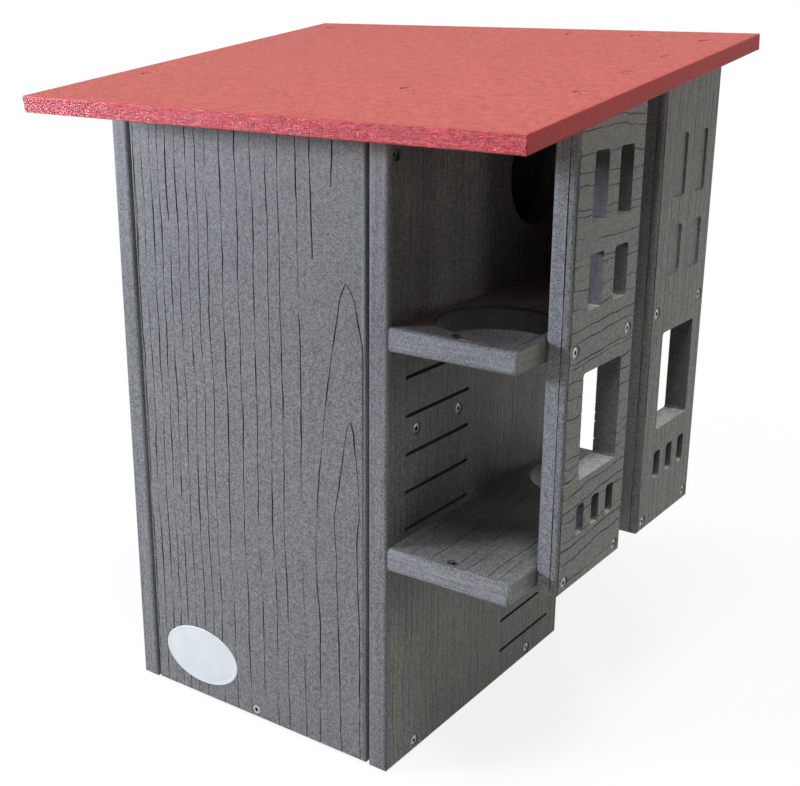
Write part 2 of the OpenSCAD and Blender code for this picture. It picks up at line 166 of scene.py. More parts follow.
def startMaterial(name):
    material = bpy.data.materials.new(name)
    material.use_nodes = True
    tree = material.node_tree
    return material, tree, tree.nodes["Principled BSDF"]


def plasticMaterial(name, dark, light, grainSize=0.0012, speckle=2.5, blotch=0.8, streak=0.3,
                    streakScale=(500, 500, 12), relief=0.0003, specular=0.3, roughness=0.42):
    material, tree, shader = startMaterial(name)
    place = addNode(tree, "ShaderNodeTexCoord").outputs["Object"]
    group = addNode(tree, "ShaderNodeGroup", {"node_tree": speckleGroup})
    values = {"Dark": (*dark, 1), "Light": (*light, 1), "Grain Size": grainSize, "Speckle": speckle,
              "Blotch": blotch, "Streak": streak, "Streak Scale": streakScale, "Base Roughness": roughness}
    feed(tree, group.inputs["Vector"], place)
    for key, value in values.items():
        group.inputs[key].default_value = value
    feed(tree, shader.inputs["Base Color"], group.outputs["Color"])
    feed(tree, shader.inputs["Roughness"], group.outputs["Roughness"])
    bump = addNode(tree, "ShaderNodeBump", Height=group.outputs["Height"], Distance=relief)
    feed(tree, shader.inputs["Normal"], bump.outputs[0])
    shader.inputs["Specular IOR Level"].default_value = specular
    return material


# Plastic finishes, some with painted shade or light; a streak scale is low along the grain and high across
# it
alongX, alongY, alongZ = (14, 600, 600), (600, 14, 600), (600, 600, 14)
thinAlong = ((18, 1000, 1000), (1000, 18, 1000), (1000, 1000, 18))
greyDark, greyLight = (0.080, 0.080, 0.079), (0.268, 0.268, 0.264)
grainFace = {axis: plasticMaterial("grainedFace" + "XYZ"[axis], greyDark, greyLight, streakScale=scale)
             for axis, scale in enumerate((alongX, alongY, alongZ))}
# Sawn edges by the direction they run; those along Y are painted darker as shade on the shelves' sides
sawnToneAndShade = ((0.35, 0.353, 0.365), (0.27, 0.27, 0.265), (0.30, 0.30, 0.30))
sawnAndShadedEdge = {axis: plasticMaterial("sawnAndShadedEdge" + "XYZ"[axis], (0.105, 0.106, 0.109), sawnToneAndShade[axis],
                                  grainSize=0.0011, speckle=2.0, blotch=0.5, streak=1.3, streakScale=scale,
                                  relief=0.0004)
            for axis, scale in enumerate(thinAlong)}
granularEdge = plasticMaterial("granularEdge", (0.085, 0.087, 0.092), (0.33, 0.337, 0.355),
                               grainSize=0.0011, speckle=2.4, blotch=0.5, streak=0.3)
smoothEdge = plasticMaterial("smoothEdge", (0.075, 0.075, 0.077), (0.275, 0.275, 0.28), grainSize=0.0012,
                             speckle=2.4, blotch=0.5, streak=0.9, streakScale=alongZ)
# Near-black tone for the cut grain lines and seams: painted shade inside these narrow grooves
paintedGrooveShade = plasticMaterial("paintedGrooveShade", (0.037, 0.037, 0.037), (0.1, 0.1, 0.1), streak=0)
# Darker tone for routed walls, reveals and deep groove bottoms: partly the smoother cut plastic, partly
# painted shade in these recesses
routedFaceAndShade = plasticMaterial("routedFaceAndShade", (0.045, 0.045, 0.047), (0.17, 0.17, 0.173), speckle=1.5,
                             streak=0.3)
# Still darker tone for the upper shelf's routed walls: painted shade inside its climbing hole
paintedShadeWall = plasticMaterial("paintedShadeWall", (0.025, 0.025, 0.027), (0.1, 0.1, 0.104), speckle=1.5, streak=0.3,
                             specular=0.15)
# Light tone for upward routed faces: painted light falling on the window sills
paintedLitSill = plasticMaterial("paintedLitSill", (0.18, 0.18, 0.172), (0.56, 0.56, 0.53), speckle=2.0, blotch=1.4)
roofFace = plasticMaterial("roofFace", (0.31, 0.032, 0.024), (0.56, 0.106, 0.081), grainSize=0.0016,
                           speckle=2.4, blotch=1.5, streak=0.0, relief=0.001, specular=0.4)
# Roof's front edge: real saw streaks, whose lighter streaks also paint glints along it
roofEdgeStreaksAndGlints = plasticMaterial("roofEdgeStreaksAndGlints", (0.34, 0.002, 0.008), (0.86, 0.055, 0.085), grainSize=0.0013,
                            speckle=2.4, blotch=0.8, streak=2.8, streakScale=(160, 900, 900), relief=0.0022,
                            specular=0.5, roughness=0.01)
roofSide = plasticMaterial("roofSide", (0.24, 0.018, 0.02), (0.46, 0.05, 0.055), grainSize=0.0014,
                           speckle=1.6, blotch=0.5, streak=0.5, streakScale=alongY, relief=0.0003,
                           specular=0.2)
print("materials made")


# Geometry Nodes trees
grainShape = {"swayScale": (11, 8, 1), "swayDetail": 4.5, "swayRoughness": 0.58, "swellScale": (300, 22, 1),
              "swellDetail": 2.0, "swellFrom": 0.32, "swellTo": 0.66, "thickest": 1.2, "sides": 6,
              "section": (0.75, 1.2, 1.0), "stretch": 1.02, "overrun": 0.004}
grainInputs = ("Across", "Along", "Spacing", "Jitter", "Wander", "Radius", "Thinnest", "Lift", "Row Step")


def makeGrainTree():
    tree = bpy.data.node_groups.new("grainLines", "GeometryNodeTree")
    tree.is_modifier = True
    addSocket(tree, "Geometry", "NodeSocketGeometry")
    for name in grainInputs:
        addSocket(tree, name, "NodeSocketFloat", 0.01)
    addSocket(tree, "Seed", "NodeSocketInt", 1)
    addSocket(tree, "Material", "NodeSocketMaterial")
    addSocket(tree, "Geometry", "NodeSocketGeometry", isOutput=True)
    given = addNode(tree, "NodeGroupInput").outputs
    result = addNode(tree, "NodeGroupOutput").inputs

    count = mathNode(tree, "FLOOR", mathNode(tree, "DIVIDE", given["Across"], given["Spacing"]))
    firstX = mathNode(tree, "MULTIPLY", mathNode(tree, "SUBTRACT", given["Spacing"], given["Across"]), 0.5)
    row = addNode(tree, "GeometryNodeMeshLine", {"mode": "OFFSET"}, Count=count)
    feed(tree, row.inputs["Start Location"], combine(tree, x=firstX))
    feed(tree, row.inputs["Offset"], combine(tree, x=given["Spacing"]))
    jitter = mathNode(tree, "MULTIPLY", given["Spacing"], given["Jitter"])
    random = addNode(tree, "FunctionNodeRandomValue", {"data_type": "FLOAT_VECTOR"})
    feed(tree, random.inputs["Min"], combine(tree, x=mathNode(tree, "MULTIPLY", jitter, -1.0)))
    feed(tree, random.inputs["Max"], combine(tree, x=jitter))
    feed(tree, random.inputs["Seed"], given["Seed"])
    spread = addNode(tree, "GeometryNodeSetPosition", Geometry=row.outputs[0])
    feed(tree, spread.inputs["Offset"], random.outputs["Value"])

    line = addNode(tree, "GeometryNodeCurvePrimitiveLine")
    feed(tree, line.inputs["Start"], combine(tree, y=mathNode(tree, "MULTIPLY", given["Along"], -0.5)))
    feed(tree, line.inputs["End"], combine(tree, y=mathNode(tree, "MULTIPLY", given["Along"], 0.5)))
    copies = addNode(tree, "GeometryNodeInstanceOnPoints", Points=spread.outputs[0])
    feed(tree, copies.inputs["Instance"], line.outputs[0])
    rows = addNode(tree, "GeometryNodeRealizeInstances", Geometry=copies.outputs[0])
    drawn = addNode(tree, "GeometryNodeMeshToCurve", Mesh=given["Geometry"])
    both = addNode(tree, "GeometryNodeJoinGeometry")
    tree.links.new(rows.outputs[0], both.inputs[0])
    tree.links.new(drawn.outputs[0], both.inputs[0])
    lines = addNode(tree, "GeometryNodeResampleCurve", {"mode": "LENGTH"}, Curve=both.outputs[0])
    feed(tree, lines.inputs["Length"], given["Row Step"])

    place = addNode(tree, "GeometryNodeInputPosition").outputs[0]
    slow = scaleVector(tree, place, grainShape["swayScale"])   # neighbours bend alike, so they never cross
    sway = addNode(tree, "ShaderNodeTexNoise", {"noise_dimensions": "4D"}, Vector=slow, W=given["Seed"],
                   Scale=1.0, Detail=grainShape["swayDetail"],
                   Roughness=grainShape["swayRoughness"]).outputs["Fac"]
    side = mathNode(tree, "MULTIPLY", mathNode(tree, "SUBTRACT", sway, 0.5), given["Wander"])
    bent = addNode(tree, "GeometryNodeSetPosition", Geometry=lines.outputs[0],
                   Offset=combine(tree, x=side, z=given["Lift"]))
    quick = scaleVector(tree, place, grainShape["swellScale"])
    swell = addNode(tree, "ShaderNodeTexNoise", {"noise_dimensions": "4D"}, Vector=quick, W=given["Seed"],
                    Scale=1.0, Detail=grainShape["swellDetail"]).outputs["Fac"]
    factor = addNode(tree, "ShaderNodeMapRange", Value=swell)
    feed(tree, factor.inputs["To Min"], given["Thinnest"])
    for name, key in (("From Min", "swellFrom"), ("From Max", "swellTo"), ("To Max", "thickest")):
        factor.inputs[name].default_value = grainShape[key]
    upright = addNode(tree, "GeometryNodeSetCurveNormal", {"mode": "Z_UP"}, Curve=bent.outputs[0])
    ring = addNode(tree, "GeometryNodeCurvePrimitiveCircle", {"mode": "RADIUS"},
                   Resolution=grainShape["sides"], Radius=1.0)
    narrow = addNode(tree, "GeometryNodeTransform", Geometry=ring.outputs[0], Scale=grainShape["section"])
    bars = addNode(tree, "GeometryNodeCurveToMesh", Curve=upright.outputs[0])
    feed(tree, bars.inputs["Profile Curve"], narrow.outputs[0])
    feed(tree, bars.inputs["Scale"], mathNode(tree, "MULTIPLY", factor.outputs[0], given["Radius"]))
    bars.inputs["Fill Caps"].default_value = True
    real = addNode(tree, "GeometryNodeRealizeInstances", Geometry=bars.outputs[0])
    painted = addNode(tree, "GeometryNodeSetMaterial", Geometry=real.outputs[0], Material=given["Material"])
    feed(tree, result["Geometry"], painted.outputs[0])
    return tree


def makeScrewTree():
    tree = bpy.data.node_groups.new("placeScrews", "GeometryNodeTree")
    tree.is_modifier = True
    addSocket(tree, "Geometry", "NodeSocketGeometry")
    addSocket(tree, "Screw", "NodeSocketObject")
    addSocket(tree, "Seed", "NodeSocketInt", 1)
    addSocket(tree, "Material", "NodeSocketMaterial")
    addSocket(tree, "Geometry", "NodeSocketGeometry", isOutput=True)
    given = addNode(tree, "NodeGroupInput").outputs
    result = addNode(tree, "NodeGroupOutput").inputs
    axis = addNode(tree, "GeometryNodeInputNamedAttribute", {"data_type": "FLOAT_VECTOR"}, Name="axis")
    aimed = addNode(tree, "FunctionNodeAlignRotationToVector", {"axis": "Z"}, Vector=axis.outputs[0])
    turn = addNode(tree, "FunctionNodeRandomValue", {"data_type": "FLOAT"})
    turn.inputs[3].default_value = math.tau
    feed(tree, turn.inputs["Seed"], given["Seed"])
    spin = addNode(tree, "FunctionNodeAxisAngleToRotation", Angle=turn.outputs[1])
    spin.inputs["Axis"].default_value = (0, 0, 1)
    turned = addNode(tree, "FunctionNodeRotateRotation", {"rotation_space": "LOCAL"})
    feed(tree, turned.inputs["Rotation"], aimed.outputs[0])
    feed(tree, turned.inputs["Rotate By"], spin.outputs[0])
    template = addNode(tree, "GeometryNodeObjectInfo", Object=given["Screw"])
    copies = addNode(tree, "GeometryNodeInstanceOnPoints", Points=given["Geometry"],
                     Instance=template.outputs["Geometry"], Rotation=turned.outputs[0])
    real = addNode(tree, "GeometryNodeRealizeInstances", Geometry=copies.outputs[0])
    painted = addNode(tree, "GeometryNodeSetMaterial", Geometry=real.outputs[0], Material=given["Material"])
    # Socket faces keep their painted shade; the rest of each screw takes the steel
    index = addNode(tree, "GeometryNodeInputMaterialIndex").outputs[0]   # 0 on a screw, 1 in its socket
    feed(tree, painted.inputs["Selection"], mathNode(tree, "SUBTRACT", 1.0, index))
    feed(tree, result["Geometry"], painted.outputs[0])
    return tree


grainTree = makeGrainTree()
screwTree = makeScrewTree()


# Mesh helpers
weldDistance = 1e-6


def linkObject(name, mesh):
    item = bpy.data.objects.new(name, mesh)
    scene.collection.objects.link(item)
    return item


def evaluatedMesh(item):
    graph = bpy.context.evaluated_depsgraph_get()
    return bpy.data.meshes.new_from_object(item.evaluated_get(graph))


def runTree(tree, mesh, values):
    holder = linkObject("treeHolder", mesh)
    modifier = holder.modifiers.new("nodes", "NODES")
    modifier.node_group = tree
    sockets = {item.name: item.identifier for item in tree.interface.items_tree if item.in_out == "INPUT"}
    for key, value in values.items():
        modifier[sockets[key]] = value
    made = evaluatedMesh(holder)
    holder.modifiers.remove(modifier)
    bpy.data.objects.remove(holder)
    return made


def mergedShell(node):
    shell = bmesh.new()
    shell.from_mesh(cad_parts[node].data)
    bmesh.ops.remove_doubles(shell, verts=shell.verts, dist=weldDistance)
    return shell


def meshFrom(shell, name):
    mesh = bpy.data.meshes.new(name)
    shell.to_mesh(mesh)
    shell.free()
    return mesh


def mergedCopy(node):
    mesh = meshFrom(mergedShell(node), node + "Shape")
    mesh.materials.clear()
    return mesh


def subtract(item, tool):
    cut = item.modifiers.new("cut", "BOOLEAN")
    cut.solver = "MANIFOLD"
    cut.operation = "DIFFERENCE"
    cut.material_mode = "TRANSFER"
    cut.object = tool
    made = evaluatedMesh(item)
    item.modifiers.remove(cut)
    bpy.data.objects.remove(tool)
    return made


def closeLoft(shell, rings, tipPlace):
    # Faces between the rings, a flat one over the first and a tip beyond the last
    sides = len(rings[0])
    for first, second in zip(rings, rings[1:]):
        for k in range(sides):
            follow = (k + 1) % sides
            shell.faces.new((first[k], second[k], second[follow], first[follow]))
    shell.faces.new(rings[0])
    tip = shell.verts.new(tipPlace)
    for k in range(sides):
        shell.faces.new((rings[-1][k], tip, rings[-1][(k + 1) % sides]))
    bmesh.ops.recalc_face_normals(shell, faces=shell.faces)


# Boards, each with grain lines cut into both faces. Thickness and grain are axes, 0 to 2 for X to Z.
# A seam is a fine upright line on the front end, or this many degrees round its outer corner.
axisVector = [Vector((1, 0, 0)), Vector((0, 1, 0)), Vector((0, 0, 1))]
grainDefaults = {"spacing": 0.0115, "jitter": 0.38, "wander": 0.02, "radius": 0.0007, "thinnest": 0.3,
                 "lift": 0.0003, "rowStep": 0.004}
seamDefaults = dict(grainDefaults, spacing=0.01, jitter=0.0, wander=0.001, radius=0.0007, lift=0.0001)
seamPlace = {"width": 0.011, "bend": 0.004, "bead": 0.006}   # the width holds one line
boards = {
    "leftWall": {"node": "left_wall", "body": "box", "thickness": 0, "grain": 2, "seed": 3,
                 "frontEdge": smoothEdge},
    "entryWall": {"node": "entry_wall", "body": "box", "thickness": 0, "grain": 2, "seed": 11,
                  "frontEdge": smoothEdge,
                  "lines": {"spacing": 0.0066, "radius": 0.00055, "thinnest": 0.4}},
    "backBoard": {"node": "back_board", "body": "box", "thickness": 1, "grain": 2, "seed": 17},
    "floorBoard": {"node": "floor_board", "body": "box", "thickness": 2, "grain": 0, "seed": 23},
    "innerLedge": {"node": "inner_ledge", "body": "box", "thickness": 2, "grain": 0, "seed": 29},
    # The upper shelf's routed walls take the painted shade tone
    "upperShelf": {"node": "upper_shelf", "body": "box", "thickness": 2, "grain": 1, "seed": 31,
                   "routed": paintedShadeWall, "lines": {"spacing": 0.015, "radius": 0.0008, "thinnest": 0.1}},
    "lowerShelf": {"node": "lower_shelf", "body": "box", "thickness": 2, "grain": 1, "seed": 37,
                   "lines": {"spacing": 0.015, "radius": 0.0008, "thinnest": 0.1}},
    "frontFacade": {"node": "front_facade", "body": "box", "thickness": 0, "grain": 1, "seed": 41,
                    "frontEdge": granularEdge, "sill": paintedLitSill, "seams": (0, 65),
                    "lines": {"radius": 0.0009, "wander": 0.03}},
    "rearFacade": {"node": "rear_facade", "body": "box", "thickness": 0, "grain": 2, "seed": 43,
                   "frontEdge": granularEdge, "sill": paintedLitSill, "seams": (0, 65),
                   "lines": {"spacing": 0.0085, "radius": 0.0006}},
    "porchBack": {"node": "porch_back", "body": "box", "thickness": 1, "grain": 2, "seed": 47},
    "frontDoor": {"node": "front_door", "body": "door", "thickness": 1, "grain": 2, "seed": 5,
                  "lines": {"radius": 0.00096, "wander": 0.012, "thinnest": 0.15}},
}
# Lines on the door's front, in millimetres from its lower left corner
doorLines = {
    "perMetre": 1000,
    "overrun": 10,
    "straight": (4, 13, 23, 32, 41, 51, 62, 72, 82, 97, 113, 129, 144, 156, 174),
    "bent": (
        ((187, 530), (188, 415)),
        ((207, 530), (207, 470)),
        ((189, -10), (191, 114), (188, 171), (190, 224), (196, 284), (200, 321), (208, 365),
         (213, 389), (218, 402), (225, 391), (232, 356), (236, 316), (239, 300)),
        ((212, -10), (209, 114), (208, 192), (207, 211), (212, 246), (219, 289), (222, 295),
         (225, 284), (228, 258), (232, 218), (229, 192), (230, 100), (231, -10)),
    ),
}


def grainBars(place, normal, along, width, length, values, seed, strokes=()):
    drawn = bpy.data.meshes.new("strokes")
    points = [(x, y, 0) for stroke in strokes for x, y in stroke]
    ends = {sum(len(stroke) for stroke in strokes[:k + 1]) - 1 for k in range(len(strokes))}
    drawn.from_pydata(points, [(k, k + 1) for k in range(len(points)) if k not in ends], [])
    bars = runTree(grainTree, drawn, {
        "Across": 0.0 if strokes else width, "Along": length * grainShape["stretch"] + grainShape["overrun"],
        "Spacing": values["spacing"], "Jitter": values["jitter"], "Wander": values["wander"],
        "Radius": values["radius"], "Thinnest": values["thinnest"], "Lift": values["lift"],
        "Row Step": values["rowStep"], "Seed": seed, "Material": paintedGrooveShade})
    turn = Matrix((along.cross(normal), along, normal)).transposed().to_4x4()
    bars.transform(Matrix.Translation(place) @ turn)
    return bars


def doorStrokes(low, high):
    scale, overrun = doorLines["perMetre"], doorLines["overrun"]
    tall = (high.z - low.z) * scale
    lines = [((x, -overrun), (x, tall + overrun)) for x in doorLines["straight"]] + list(doorLines["bent"])
    half = (high - low) / 2
    return [[(x / scale - half.x, z / scale - half.z) for x, z in line] for line in lines]


def faceBars(spec, side, low, high):
    thickness, grain = spec["thickness"], spec["grain"]
    across = 3 - thickness - grain
    width = high[across] - low[across]
    place = (low + high) / 2
    place[thickness] = high[thickness] if side > 0 else low[thickness]
    values = dict(grainDefaults, **spec.get("lines", {}))
    strokes = doorStrokes(low, high) if spec["node"] == "front_door" and side < 0 else ()
    length = high[grain] - low[grain]
    seed = spec["seed"] + (side > 0)   # the two faces differ
    return grainBars(place, axisVector[thickness] * side, axisVector[grain], width, length, values, seed,
                     strokes)


def seamBars(spec, turn, low, high):
    angle = math.radians(turn)
    normal = Vector((math.sin(angle), -math.cos(angle), 0))
    bend = seamPlace["bend"]
    middle = Vector((high.x - bend, low.y + bend, (low.z + high.z) / 2))
    if turn == 0:
        middle.x = high.x - seamPlace["bead"]
    return grainBars(middle + normal * bend, normal, axisVector[2], seamPlace["width"], high.z - low.z,
                     seamDefaults, spec["seed"])


def carve(board, bars):
    board.data = subtract(board, linkObject("grainBars", bars))


def roofNormal():
    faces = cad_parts["roof_board"].data.polygons
    return max(faces, key=lambda polygon: polygon.area * polygon.normal.z).normal.copy()


roofUp = roofNormal()
roofFall = axisVector[0].cross(roofUp)
flatAxes = axisVector + [roofUp, roofFall]
shading = {"sharpAngle": 35, "flatFrom": 0.9995}
faceRules = {"broadFrom": 0.93, "broadDepth": 0.004, "edgeDepth": 0.0045, "levelFrom": 0.9,
             "pocketDepth": (0.0015, 0.0025), "pocketSlant": 0.1}
# A board's material slots after 0, its broad faces; the three edges run along X, Y and Z
boardSlots = {"grainLine": 1, "firstEdge": 2, "routed": 5, "frontEdge": 6, "sill": 7}


def shadeRounds(mesh):
    # Flat faces keep their own normal, so that only the eased edges shade smoothly
    mesh.set_sharp_from_angle(angle=math.radians(shading["sharpAngle"]))
    for polygon in mesh.polygons:
        polygon.use_smooth = max(abs(polygon.normal.dot(axis)) for axis in flatAxes) < shading["flatFrom"]


def fromSide(point, axis, low, high):
    return min(point[axis] - low[axis], high[axis] - point[axis])


def faceKinds(mesh, spec, low, high):
    thickness = spec["thickness"]
    shallowest, deepest = faceRules["pocketDepth"]
    for polygon in mesh.polygons:
        if polygon.material_index == boardSlots["grainLine"]:
            continue
        normal, middle = polygon.normal, polygon.center
        reach = [mesh.vertices[index].co[thickness] for index in polygon.vertices]
        isUpright = abs(normal[thickness]) < faceRules["pocketSlant"]
        isPocket = isUpright and shallowest < max(reach) - min(reach) < deepest
        # Faces inset deeper than the broad depth, such as the bottoms of deep grooves, take the routed tone,
        # which paints shade there
        isNearFace = fromSide(middle, thickness, low, high) < faceRules["broadDepth"]
        isBroad = isNearFace and abs(normal[thickness]) > faceRules["broadFrom"]
        if isBroad or isPocket:
            continue
        # Upward cut faces take the sill slot, painted light on the facades' sills; other cut faces take the
        # routed slot
        kind = boardSlots["sill" if normal.z > faceRules["levelFrom"] else "routed"]
        # Faces at a board's sides take the sawn edge of their direction, the one along Y holding painted
        # shade
        for axis in range(3):
            if axis != thickness and fromSide(middle, axis, low, high) < faceRules["edgeDepth"]:
                kind = boardSlots["firstEdge"] + 3 - thickness - axis
        if "frontEdge" in spec and middle.y - low.y < faceRules["edgeDepth"]:
            kind = boardSlots["frontEdge"]
        polygon.material_index = kind


def makeBoard(name, spec):
    low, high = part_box(spec["node"])
    mesh = mergedCopy(spec["node"])
    mesh.materials.append(grainFace[spec["grain"]])
    board = linkObject(name, mesh)
    for side in (-1, 1):
        carve(board, faceBars(spec, side, low, high))
    for turn in spec.get("seams", ()):
        carve(board, seamBars(spec, turn, low, high))
    frontEdge = spec.get("frontEdge", smoothEdge)
    routed = spec.get("routed", routedFaceAndShade)
    for material in [sawnAndShadedEdge[0], sawnAndShadedEdge[1], sawnAndShadedEdge[2], routed, frontEdge, spec.get("sill", routed)]:
        board.data.materials.append(material)
    faceKinds(board.data, spec, low, high)
    shadeRounds(board.data)
    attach(board, spec["body"])
    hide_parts(spec["node"])
    return board


for name, spec in boards.items():
    made = makeBoard(name, spec)
    print(name, len(made.data.polygons), "faces")


# Roof
def makeRoof():
    mesh = mergedCopy("roof_board")
    for material in (roofFace, roofEdgeStreaksAndGlints, roofSide):
        mesh.materials.append(material)
    for polygon in mesh.polygons:
        sides = [abs(polygon.normal.dot(axis)) for axis in (roofUp, roofFall, axisVector[0])]
        polygon.material_index = sides.index(max(sides))
    roof = linkObject("roofBoard", mesh)
    shadeRounds(mesh)
    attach(roof, "box")
    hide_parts("roof_board")


makeRoof()
print("roof made")


# Screws
# A head's profile gives each ring's depth and how far it stays inside the head's radius
screwShape = {"headRadius": 0.0042, "cone": 0.0026, "shank": 0.00205, "root": 0.00145, "crest": 0.0021,
              "pitch": 0.0024, "ridge": 3.2, "stepsPerTurn": 6, "tip": 0.005, "tipShare": 0.12,
              "smooth": 0.015, "smoothShare": 0.45, "runIn": 6, "sides": 20, "sharpAngle": 40,
              "flatHead": ((0, 0.00015), (0.00012, 0), (0.0005, 0)),
              "panHead": ((0, 0.0004), (0.0001, 0.0001), (0.0004, 0), (0.002, 0)),
              "socket": 0.0031, "socketDepth": 0.0019, "socketTaper": 0.9, "socketRise": 0.001}
# The socket colour is a painted shade for the screws' drive recess
steelLook = {"dark": (0.15, 0.148, 0.14, 1), "light": (0.68, 0.675, 0.66, 1), "noiseScale": 500.0,
             "noiseDetail": 3.0, "roughness": 0.32, "roughSpread": 0.2, "socket": (0.02, 0.02, 0.02, 1),
             "socketRoughness": 0.5}


def steelMaterial():
    material, tree, shader = startMaterial("screwSteel")
    place = addNode(tree, "ShaderNodeTexCoord").outputs["Object"]
    noise = noiseMask(tree, place, steelLook["noiseScale"], steelLook["noiseDetail"])
    feed(tree, shader.inputs["Base Color"], mixTones(tree, noise, steelLook["dark"], steelLook["light"]))
    spread = mathNode(tree, "MULTIPLY", noise, steelLook["roughSpread"])
    feed(tree, shader.inputs["Roughness"], mathNode(tree, "ADD", steelLook["roughness"], spread))
    shader.inputs["Metallic"].default_value = 1.0
    return material


# Near-black tone in a screw's drive socket: painted shade in the recess
def paintedSocketShadeMaterial():
    material, tree, shader = startMaterial("paintedSocketShade")
    shader.inputs["Base Color"].default_value = steelLook["socket"]
    shader.inputs["Roughness"].default_value = steelLook["socketRoughness"]
    shader.inputs["Metallic"].default_value = 1.0
    return material


screwSteel = steelMaterial()
paintedSocketShade = paintedSocketShadeMaterial()


def ringOf(shell, z, radiusAt):
    ring = []
    for k in range(screwShape["sides"]):
        angle = math.tau * k / screwShape["sides"]
        radius = radiusAt(angle)
        ring.append(shell.verts.new((radius * math.cos(angle), radius * math.sin(angle), z)))
    return ring


def screwMesh(length, isPan):
    shape = screwShape
    shell = bmesh.new()
    rings = []

    def plain(z, radius):
        rings.append(ringOf(shell, z, lambda angle: radius))

    head = shape["panHead" if isPan else "flatHead"]
    for depth, inset in head:
        plain(-depth, shape["headRadius"] - inset)
    neck = -head[-1][0] - (0 if isPan else shape["cone"])
    plain(neck, shape["shank"])
    threadStart = -min(shape["smooth"] + shape["cone"], length * shape["smoothShare"])
    plain(threadStart, shape["shank"])
    step = shape["pitch"] / shape["stepsPerTurn"]
    tipStart = -length + shape["tip"]
    count = int((threadStart + length) / step)
    for index in range(1, count):
        z = threadStart - index * step
        taper = min(1, (z + length) / (tipStart + length))

        def threadRadius(angle):
            phase = (z / shape["pitch"] + angle / math.tau) % 1
            ridge = max(0, 1 - abs(phase - 0.5) * shape["ridge"])
            fade = min(1, index / shape["runIn"])
            core = shape["root"] + (shape["shank"] - shape["root"]) * (1 - fade)
            return (core + (shape["crest"] - core) * ridge) * max(taper, shape["tipShare"])

        rings.append(ringOf(shell, z, threadRadius))
    closeLoft(shell, rings, (0, 0, -length))
    return cutSocket(meshFrom(shell, "screw"))


def cutSocket(mesh):
    cutter = bmesh.new()
    bmesh.ops.create_cube(cutter, size=1.0)
    for vert in cutter.verts:
        isTop = vert.co.z > 0
        width = screwShape["socket"] * (1.0 if isTop else screwShape["socketTaper"])
        level = screwShape["socketRise"] if isTop else -screwShape["socketDepth"]
        vert.co = Vector((vert.co.x * width, vert.co.y * width, level))
    cutterMesh = meshFrom(cutter, "socket")
    mesh.materials.append(screwSteel)
    cutterMesh.materials.append(paintedSocketShade)
    blank = linkObject("screwBlank", mesh)
    made = subtract(blank, linkObject("socketTool", cutterMesh))
    bpy.data.objects.remove(blank)
    made.set_sharp_from_angle(angle=math.radians(screwShape["sharpAngle"]))
    return made


def islands(node):
    # The points of each separate solid of a node, in a fixed order
    shell = mergedShell(node)
    seen = set()
    groups = []
    for start in shell.verts:
        if start in seen:
            continue
        seen.add(start)
        stack = [start]
        group = []
        while stack:
            vert = stack.pop()
            group.append(tuple(vert.co))
            for edge in vert.link_edges:
                other = edge.other_vert(vert)
                if other not in seen:
                    seen.add(other)
                    stack.append(other)
        groups.append(np.array(group))
    shell.free()
    return sorted(groups, key=lambda group: tuple(group.mean(axis=0).round(5)))


def screwPlace(points):
    # The axis is the longest direction, and it points to the widest end, which is the head
    centre = points.mean(axis=0)
    axis = np.linalg.svd(points - centre)[2][0]
    heights = (points - centre) @ axis
    radii = np.linalg.norm(points - centre - np.outer(heights, axis), axis=1)
    if heights[radii.argmax()] < 0:
        axis, heights = -axis, -heights
    sideways = points - np.outer(points @ axis, axis)
    middle = (sideways.max(axis=0) + sideways.min(axis=0)) / 2
    head = middle + axis * (centre @ axis + heights.max())
    return head, axis, heights.max() - heights.min()


def makeScrews(name, node, body, isPan, seed):
    places = [screwPlace(points) for points in islands(node)]
    length = sum(place[2] for place in places) / len(places)
    template = linkObject("screwTemplate", screwMesh(length, isPan))
    points = bpy.data.meshes.new("screwPoints")
    points.from_pydata([tuple(place[0]) for place in places], [], [])
    axes = points.attributes.new("axis", "FLOAT_VECTOR", "POINT")
    for index, place in enumerate(places):
        axes.data[index].vector = place[1]
    mesh = runTree(screwTree, points, {"Screw": template, "Seed": seed, "Material": screwSteel})
    bpy.data.objects.remove(template)
    screws = linkObject(name, mesh)
    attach(screws, body)
    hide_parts(node)
    print(name, len(places), "screws,", len(mesh.polygons), "faces")


# Node, body and whether the head is a pan head
screwSets = {
    "roofWallScrews": ("roof_wall_screws", "box", False),
    "roofFacadeScrews": ("roof_facade_screws", "box", False),
    "roofPorchScrew": ("roof_porch_screw", "box", False),
    "facadeUpperScrews": ("facade_upper_screws", "box", False),
    "facadeLowerScrews": ("facade_lower_screws", "box", False),
    "floorScrews": ("floor_screws", "box", False),
    "ledgeScrews": ("ledge_screws", "box", False),
    "backScrews": ("back_screws", "box", False),
    "upperShelfScrews": ("upper_shelf_screws", "box", False),
    "lowerShelfScrews": ("lower_shelf_screws", "box", False),
    "porchBackScrews": ("porch_back_screws", "box", False),
    "shelfEndScrews": ("shelf_end_screws", "box", False),
    "pivotScrews": ("pivot_screws", "door", True),
    "lockScrew": ("lock_screw", "lock", True),
}
for seed, (name, (node, body, isPan)) in enumerate(screwSets.items(), 1):
    makeScrews(name, node, body, isPan, seed)


# Blank oval label
# The profile runs from the back of the rim to the front: the share of the half width and of the thickness
labelShape = {"sides": 96, "edge": 0.0003, "sharpAngle": 50,
              "rim": ((0.95, 0.95), (0.93, 0.6), (0.9, 0.72)), "dome": ((0.6, 0.9), (0.3, 0.98))}
labelLook = {"dark": (0.62, 0.64, 0.64, 1), "light": (0.75, 0.76, 0.755, 1), "noiseScale": 60.0,
             "noiseDetail": 4.0, "relief": 0.0003, "roughness": 0.28, "coat": 0.3}


